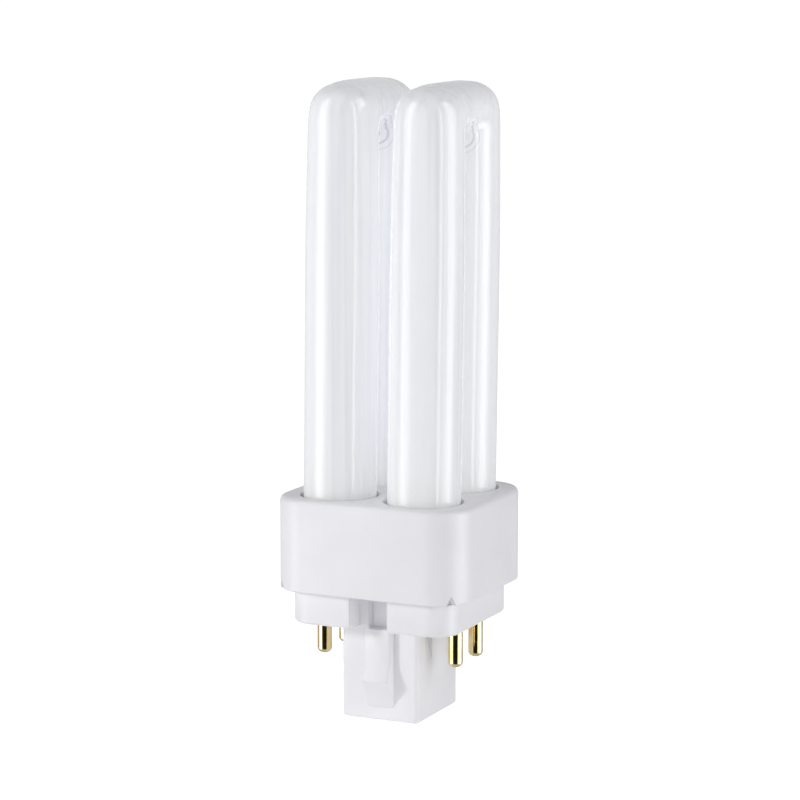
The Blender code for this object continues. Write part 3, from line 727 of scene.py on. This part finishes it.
def coated_glass():
    """Drawn soda glass with a fired white powder coat inside: glossy outside, milk white behind."""
    material, tree, shader, place = new_finish(
        "fired_phosphor_coat_under_drawn_glass",
        {
            "Roughness": 0.08,
            "Subsurface Weight": 0.5,
            "Subsurface Scale": 6 * MM,
            "Subsurface Radius": (1.0, 1.0, 1.0),
            # the colour of the painted glow
            "Emission Color": linear("F6F6FA"),
        },
    )
    parts = add_node(tree, "ShaderNodeSeparateXYZ", links={"Vector": place}).outputs

    # The coat drains down the tube as it dries: soft streaks, broad ones and ones about a millimetre apart.
    streaks = []
    for size in (BROAD_STREAK, FINE_STREAK):
        drawn = add_node(
            tree, "ShaderNodeMapping", links={"Vector": place}, values={"Scale": drawn_out(size)}
        )
        streak = add_node(
            tree,
            "ShaderNodeTexNoise",
            links={"Vector": drawn.outputs["Vector"]},
            values={"Scale": 1.0, "Detail": 2.0},
        )
        streaks.append(streak.outputs["Fac"])
    both = add_node(tree, "ShaderNodeMath", {"operation": "ADD"}, {0: streaks[0], 1: streaks[1]})
    coat = add_node(
        tree,
        "ShaderNodeValToRGB",
        links={"Fac": both.outputs[0]},
        stops=((0.7, linear("DFE0E5")), (1.0, linear("E9EAEC"))),
    )

    # The coat is a little warmer near the cathodes, just above the collar.
    near = add_node(
        tree,
        "ShaderNodeMapRange",
        links={"Value": parts["Z"]},
        values={"From Min": WARM_RANGE[0], "From Max": WARM_RANGE[1], "To Min": 0.25, "To Max": 0.0},
    )
    warmed = add_node(
        tree,
        "ShaderNodeMix",
        {"data_type": "RGBA"},
        {"Factor": near.outputs["Result"], MIX_FIRST: coat.outputs["Color"]},
        {MIX_SECOND: linear("E7E7DA")},
    )

    # On the tight inner side of a bend the glass is wrinkled, and its folds are painted a darker grey, as
    # shade.
    from_bend = add_node(
        tree,
        "ShaderNodeMapping",
        links={"Vector": place},
        values={"Location": (0, 0, -BEND_SPRING), "Scale": (0, 1, 1)},
    )
    reach = add_node(tree, "ShaderNodeVectorMath", {"operation": "LENGTH"}, {0: from_bend.outputs["Vector"]})
    inside = add_node(
        tree,
        "ShaderNodeMapRange",
        links={"Value": reach.outputs["Value"]},
        values={"From Min": FOLD_SHADE_RANGE[0], "From Max": FOLD_SHADE_RANGE[1], "To Min": 1.0, "To Max": 0.0},
    )
    round_bend = add_node(
        tree, "ShaderNodeCombineXYZ", links={"X": reach.outputs["Value"], "Y": parts["X"]}
    )
    folds = add_node(
        tree,
        "ShaderNodeTexWave",
        {"wave_type": "BANDS", "bands_direction": "X"},
        {"Vector": round_bend.outputs["Vector"]},
        {"Scale": WAVE_REPEAT / FOLD_PITCH, "Distortion": 4.5, "Detail": 1.0, "Detail Scale": 0.6},
    )
    fold = add_node(
        tree,
        "ShaderNodeMapRange",
        links={"Value": folds.outputs["Fac"]},
        values={"From Min": 0.65, "From Max": 0.95, "To Min": 0.0, "To Max": 1.0},
    )
    dark = add_node(
        tree,
        "ShaderNodeMath",
        {"operation": "MULTIPLY"},
        {0: inside.outputs["Result"], 1: fold.outputs["Result"]},
    )
    # The darker grey mixed in here is painted shade in the folds.
    folded = add_node(
        tree,
        "ShaderNodeMix",
        {"data_type": "RGBA"},
        {"Factor": dark.outputs[0], MIX_FIRST: warmed.outputs[MIX_RESULT]},
        {MIX_SECOND: linear("D8D8DF")},
    )
    tree.links.new(folded.outputs[MIX_RESULT], shader.inputs["Base Color"])

    # The coat is given a weak glow, painted light that stands in for light which comes in through the thin
    # coat, evens out in the tube and comes back through the whole wall. The painted glow ends inside the
    # collar, is weaker in the painted shade of the folds, and is painted stronger near the lamp's axis, for
    # light going to and fro between the four legs.
    bare = add_node(
        tree,
        "ShaderNodeMapRange",
        links={"Value": parts["Z"]},
        values={"From Min": PAINTED_GLOW_RANGE[0], "From Max": PAINTED_GLOW_RANGE[1], "To Min": 0.0, "To Max": 1.0},
    )
    outside_fold_shade = add_node(
        tree, "ShaderNodeMath", {"operation": "SUBTRACT"}, {1: dark.outputs[0]}, {0: 1.0}
    )
    share = add_node(
        tree,
        "ShaderNodeMath",
        {"operation": "MULTIPLY"},
        {0: bare.outputs["Result"], 1: outside_fold_shade.outputs[0]},
    )
    level = add_node(tree, "ShaderNodeMapping", links={"Vector": place}, values={"Scale": (1, 1, 0)})
    from_axis = add_node(tree, "ShaderNodeVectorMath", {"operation": "LENGTH"}, {0: level.outputs["Vector"]})
    between = add_node(
        tree,
        "ShaderNodeMapRange",
        links={"Value": from_axis.outputs["Value"]},
        values={"From Min": PAINTED_GAP_LIGHT_RANGE[0], "From Max": PAINTED_GAP_LIGHT_RANGE[1], "To Min": 0.22, "To Max": 0.16},
    )
    glow = add_node(
        tree,
        "ShaderNodeMath",
        {"operation": "MULTIPLY"},
        {0: share.outputs[0], 1: between.outputs["Result"]},
    )
    tree.links.new(glow.outputs[0], shader.inputs["Emission Strength"])

    # Drawing leaves slow waves in the glass that bend its reflections.
    waves = add_node(
        tree, "ShaderNodeMapping", links={"Vector": place}, values={"Scale": drawn_out(DRAWN_WAVE)}
    )
    relief = add_node(
        tree,
        "ShaderNodeTexNoise",
        links={"Vector": waves.outputs["Vector"]},
        values={"Scale": 1.0, "Detail": 1.0},
    )
    bump = add_node(
        tree,
        "ShaderNodeBump",
        links={"Height": relief.outputs["Fac"]},
        values={"Strength": 0.15, "Distance": 0.4 * MM},
    )
    tree.links.new(bump.outputs["Normal"], shader.inputs["Normal"])
    return material


def moulded_white():
    """Injection moulded white polyester: satin, with the soft sheen of the mould's spark finish."""
    material, tree, shader, place = new_finish("satin_white_moulded_polyester", {"Roughness": 0.38})
    cloud = add_node(
        tree, "ShaderNodeTexNoise", links={"Vector": place}, values={"Scale": 1 / WHITE_PATCH, "Detail": 4.0}
    )
    tint = add_node(
        tree,
        "ShaderNodeValToRGB",
        links={"Fac": cloud.outputs["Fac"]},
        stops=((0.35, linear("F4F4F8")), (0.65, linear("F8F8FB"))),
    )
    tree.links.new(tint.outputs["Color"], shader.inputs["Base Color"])
    # The spark finish itself is too fine to show. Its sheen is drawn in patches of about a millimetre.
    sheen = add_node(
        tree, "ShaderNodeTexNoise", links={"Vector": place}, values={"Scale": 1 / SHEEN_PATCH, "Detail": 2.0}
    )
    gloss = add_node(
        tree,
        "ShaderNodeMapRange",
        links={"Value": sheen.outputs["Fac"]},
        values={"From Min": 0.3, "From Max": 0.7, "To Min": 0.34, "To Max": 0.42},
    )
    tree.links.new(gloss.outputs["Result"], shader.inputs["Roughness"])
    # Every edge of the moulding is slightly rounded, so that it catches a thin line of light.
    edges = add_node(tree, "ShaderNodeBevel", {"samples": 6}, values={"Radius": MOULDED_EDGE})
    tree.links.new(edges.outputs["Normal"], shader.inputs["Normal"])
    return material


def drawn_brass():
    """Bright drawn brass: a warm mirror with the die's fine lines along the pin."""
    material, tree, shader, place = new_finish("bright_drawn_brass", {"Metallic": 1.0, "Roughness": 0.14})
    tarnish = add_node(
        tree, "ShaderNodeTexNoise", links={"Vector": place}, values={"Scale": 1 / TARNISH_SPOT, "Detail": 3.0}
    )
    tint = add_node(
        tree,
        "ShaderNodeValToRGB",
        links={"Fac": tarnish.outputs["Fac"]},
        stops=((0.35, linear("E8CD8C")), (0.7, linear("F4E3B4"))),
    )
    tree.links.new(tint.outputs["Color"], shader.inputs["Base Color"])
    # The die's lines are drawn 0.1 mm apart, coarser than the real ones, so that they show.
    along = add_node(
        tree, "ShaderNodeMapping", links={"Vector": place}, values={"Scale": drawn_out(DIE_LINE)}
    )
    lines = add_node(
        tree,
        "ShaderNodeTexNoise",
        links={"Vector": along.outputs["Vector"]},
        values={"Scale": 1.0, "Detail": 2.0},
    )
    polish = add_node(
        tree,
        "ShaderNodeMapRange",
        links={"Value": lines.outputs["Fac"]},
        values={"From Min": 0.3, "From Max": 0.7, "To Min": 0.1, "To Max": 0.2},
    )
    tree.links.new(polish.outputs["Result"], shader.inputs["Roughness"])
    bump = add_node(
        tree,
        "ShaderNodeBump",
        links={"Height": lines.outputs["Fac"]},
        values={"Strength": 0.08, "Distance": 0.03 * MM},
    )
    tree.links.new(bump.outputs["Normal"], shader.inputs["Normal"])
    return material


def nickel_wire():
    """Dull nickel wire, greyed by the heat of the seal."""
    material, tree, shader, place = new_finish("oxidised_nickel_wire", {"Metallic": 1.0, "Roughness": 0.35})
    oxide = add_node(
        tree, "ShaderNodeTexNoise", links={"Vector": place}, values={"Scale": 1 / OXIDE_PATCH, "Detail": 3.0}
    )
    tint = add_node(
        tree,
        "ShaderNodeValToRGB",
        links={"Fac": oxide.outputs["Fac"]},
        stops=((0.3, linear("A19B92")), (0.7, linear("C4C0B8"))),
    )
    tree.links.new(tint.outputs["Color"], shader.inputs["Base Color"])
    polish = add_node(
        tree,
        "ShaderNodeMapRange",
        links={"Value": oxide.outputs["Fac"]},
        values={"From Min": 0.3, "From Max": 0.7, "To Min": 0.45, "To Max": 0.28},
    )
    tree.links.new(polish.outputs["Result"], shader.inputs["Roughness"])
    return material


def basing_cement():
    """Poured basing cement: dry, buff and grainy, its sand drawn coarse enough to show."""
    material, tree, shader, place = new_finish("poured_buff_basing_cement", {"Roughness": 0.9})
    sand = add_node(
        tree, "ShaderNodeTexNoise", links={"Vector": place}, values={"Scale": 1 / SAND_GRAIN, "Detail": 6.0}
    )
    tint = add_node(
        tree,
        "ShaderNodeValToRGB",
        links={"Fac": sand.outputs["Fac"]},
        stops=((0.3, linear("A39A86")), (0.7, linear("CFC7B4"))),
    )
    tree.links.new(tint.outputs["Color"], shader.inputs["Base Color"])
    bump = add_node(
        tree,
        "ShaderNodeBump",
        links={"Height": sand.outputs["Fac"]},
        values={"Strength": 0.6, "Distance": 0.2 * MM},
    )
    tree.links.new(bump.outputs["Normal"], shader.inputs["Normal"])
    return material


# Studio


def make_floor():
    """One pale sheet, wide enough to fill the view to its edges."""
    bm = bmesh.new()
    bmesh.ops.create_grid(bm, x_segments=8, y_segments=8, size=FLOOR_REACH)
    floor = new_object("pale_floor", bm)
    material, tree, shader, place = new_finish(
        "matt_white_paper_sweep",
        {"Roughness": 0.9, "Specular IOR Level": 0.0, "Emission Color": linear("FFFFFF")},
    )
    # The paper's fibres are too fine to show, so its cloudiness is drawn.
    fibre = add_node(
        tree, "ShaderNodeTexNoise", links={"Vector": place}, values={"Scale": 1 / PAPER_PATCH, "Detail": 3.0}
    )
    tint = add_node(
        tree,
        "ShaderNodeValToRGB",
        links={"Fac": fibre.outputs["Fac"]},
        stops=((0.3, linear("F3F3F3")), (0.7, linear("F6F6F6"))),
    )
    tree.links.new(tint.outputs["Color"], shader.inputs["Base Color"])
    # The sheet is lit to a clean white for the picture, and gives the lamp less light than that.
    path = add_node(tree, "ShaderNodeLightPath")
    glow = add_node(
        tree,
        "ShaderNodeMapRange",
        links={"Value": path.outputs["Is Camera Ray"]},
        values={"To Min": 0.27, "To Max": 0.76},
    )
    tree.links.new(glow.outputs["Result"], shader.inputs["Emission Strength"])
    floor.data.materials.append(material)
    floor.visible_glossy = False


def make_world():
    """A white tent. Its open end, where the camera stands, is dark in reflections."""
    world = bpy.data.worlds.new("white_tent")
    bpy.context.scene.world = world
    world.use_nodes = True
    tree = world.node_tree
    room = tree.nodes["Background"]
    room.inputs["Color"].default_value = linear("FDFDFF")
    way = add_node(tree, "ShaderNodeTexCoord").outputs["Generated"]
    ahead = add_node(
        tree, "ShaderNodeVectorMath", {"operation": "DOT_PRODUCT"}, {0: way}, {1: VIEW_SIDE}
    )
    opening = add_node(
        tree,
        "ShaderNodeMapRange",
        links={"Value": ahead.outputs["Value"]},
        values={"From Min": 0.6, "From Max": 0.85, "To Min": 0.55, "To Max": 0.01},
    )
    path = add_node(tree, "ShaderNodeLightPath")
    strength = add_node(
        tree,
        "ShaderNodeMapRange",
        links={"Value": path.outputs["Is Glossy Ray"], "To Max": opening.outputs["Result"]},
        values={"To Min": 0.32},
    )
    tree.links.new(strength.outputs["Result"], room.inputs["Strength"])


def make_strip(name, degrees, distance, width, height, low, strength, seen_in_gloss=True):
    """A soft light that faces the lamp, either for its gloss or for its shade.

    degrees are measured from the camera's side, positive to the right of the picture, and low is the
    level of the light's foot. A strip for the gloss starts below the floor, so that its reflection
    runs down to the foot of the glass.
    """
    azimuth = math.radians(degrees)
    way = VIEW_SIDE * math.cos(azimuth) + VIEW_RIGHT * math.sin(azimuth)
    data = bpy.data.lights.new(name, "AREA")
    data.shape = "RECTANGLE"
    data.size, data.size_y = width, height
    data.energy = strength * width * height * math.pi
    light = bpy.data.objects.new(name, data)
    bpy.context.scene.collection.objects.link(light)
    light.location = way * distance + Vector((0, 0, low + height / 2))
    light.rotation_mode = "QUATERNION"
    light.rotation_quaternion = (-way).to_track_quat("-Z", "Y")
    light.visible_camera = False
    light.visible_glossy = seen_in_gloss
    light.visible_diffuse = not seen_in_gloss


def make_lights():
    """Soft strips for the lines of light on the glass, a small hard key and a weak fill for the shade."""
    tall = {"height": 0.7, "low": -0.2}
    for side, degrees in (("left", -68), ("right", 74)):
        make_strip(f"{side}_shine", degrees, distance=0.34, width=0.26, strength=1.6, **tall)
        make_strip(f"{side}_core", degrees, distance=0.33, width=0.12, strength=2.2, **tall)
    make_strip("right_edge", 40, distance=0.36, width=0.06, strength=2.8, **tall)
    shade = {"seen_in_gloss": False}
    make_strip("key", -70, distance=0.45, width=0.07, height=0.07, low=0.13, strength=49.0, **shade)
    make_strip("right_fill", 50, distance=0.4, width=0.2, height=0.4, low=0.0, strength=2.2, **shade)


def make_camera():
    back = VIEW_SIDE * math.cos(CAMERA_ELEVATION) + Vector((0, 0, math.sin(CAMERA_ELEVATION)))
    data = bpy.data.cameras.new("studio_camera")
    data.sensor_width = CAMERA_FILM
    data.lens = CAMERA_LENS
    data.clip_start, data.clip_end = 0.01, 100.0
    camera = bpy.data.objects.new("studio_camera", data)
    bpy.context.scene.collection.objects.link(camera)
    camera.location = CAMERA_TARGET + back * CAMERA_DISTANCE
    camera.rotation_mode = "QUATERNION"
    camera.rotation_quaternion = (-back).to_track_quat("-Z", "Y")
    bpy.context.scene.camera = camera


def finish_solid(node, material):
    """Gives a solid that is shown as it is its finish."""
    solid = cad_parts[node]
    solid.data.materials.clear()
    solid.data.materials.append(material)


def main():
    bpy.context.scene.view_settings.view_transform = "Standard"
    make_glass(coated_glass())
    plastic = moulded_white()
    make_collar(plastic)
    make_cap(plastic)
    make_pins(drawn_brass())
    wire = nickel_wire()
    for number in range(1, len(PIN_PLACES) + 1):
        finish_solid(f"lead_wire_{number}", wire)
    finish_solid("basing_cement", basing_cement())
    make_floor()
    make_world()
    make_lights()
    make_camera()


main()
